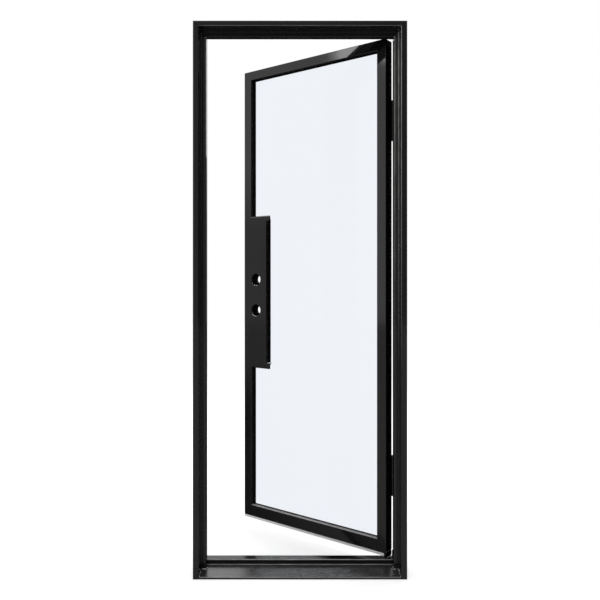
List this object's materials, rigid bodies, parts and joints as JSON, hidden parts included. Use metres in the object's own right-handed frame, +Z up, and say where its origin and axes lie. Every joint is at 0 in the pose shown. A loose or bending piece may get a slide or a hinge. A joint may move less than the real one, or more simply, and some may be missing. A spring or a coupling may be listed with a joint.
{
  "type": "glazed steel door with frame",
  "caption": "Slim black steel door leaf with a clear glass panel and a flat lock box, swinging on barrel hinges in its own welded steel frame with a stepped threshold.",
  "frame": {"origin": "middle of the threshold's underside, half way across the frame's width and depth", "axes": "+Z up, +X towards the hinge jamb, +Y from the front face into the doorway, the way the leaf opens"},
  "size_m": [0.815, 0.5948, 2.123],
  "materials": {
    "black_steel": "satin black paint",
    "clear_glass": "clear, faint blue",
    "seal_rubber": "matte black",
    "spacer_bar": "black anodised",
    "pin_steel": "turned",
    "washer_brass": "turned",
    "sweep_vinyl": "pale grey vinyl",
    "screw_steel": "blackened"
  },
  "bodies": {
    "frame": {"head": "black_steel", "hinge_jamb": "black_steel", "strike_jamb": "black_steel", "threshold": "black_steel", "head_stop": "black_steel", "hinge_stop": "black_steel", "strike_stop": "black_steel", "head_weatherstrip": "seal_rubber", "hinge_weatherstrip": "seal_rubber", "strike_weatherstrip": "seal_rubber", "hinge_corner_pad": "seal_rubber", "upper_hinge_jamb_barrel": "black_steel", "upper_hinge_pin": "pin_steel", "upper_hinge_washer": "washer_brass", "lower_hinge_jamb_barrel": "black_steel", "lower_hinge_pin": "pin_steel", "lower_hinge_washer": "washer_brass"},
    "leaf": {"lock_stile": "black_steel", "hinge_stile": "black_steel", "top_rail": "black_steel", "bottom_rail": "black_steel", "lock_box": "black_steel", "outer_gasket": "seal_rubber", "outer_pane": "clear_glass", "glass_spacer": "spacer_bar", "inner_pane": "clear_glass", "inner_gasket": "seal_rubber", "setting_blocks": "seal_rubber", "bead_top": "black_steel", "bead_bottom": "black_steel", "bead_hinge_side": "black_steel", "bead_lock_upper": "black_steel", "bead_lock_lower": "black_steel", "bead_box_top": "black_steel", "bead_box_side": "black_steel", "bead_box_bottom": "black_steel", "bead_screws": "screw_steel", "door_sweep": "sweep_vinyl", "sweep_screws": "screw_steel", "upper_hinge_leaf_barrel": "black_steel", "lower_hinge_leaf_barrel": "black_steel"}
  },
  "joints": [
    {"name": "leaf_swing", "type": "hinge", "parent": "frame", "child": "leaf", "pos_m": [0.3735, 0.077, 1], "axis": [0, 0, -1], "range_deg": [-37.3, 122.7]}
  ]
}
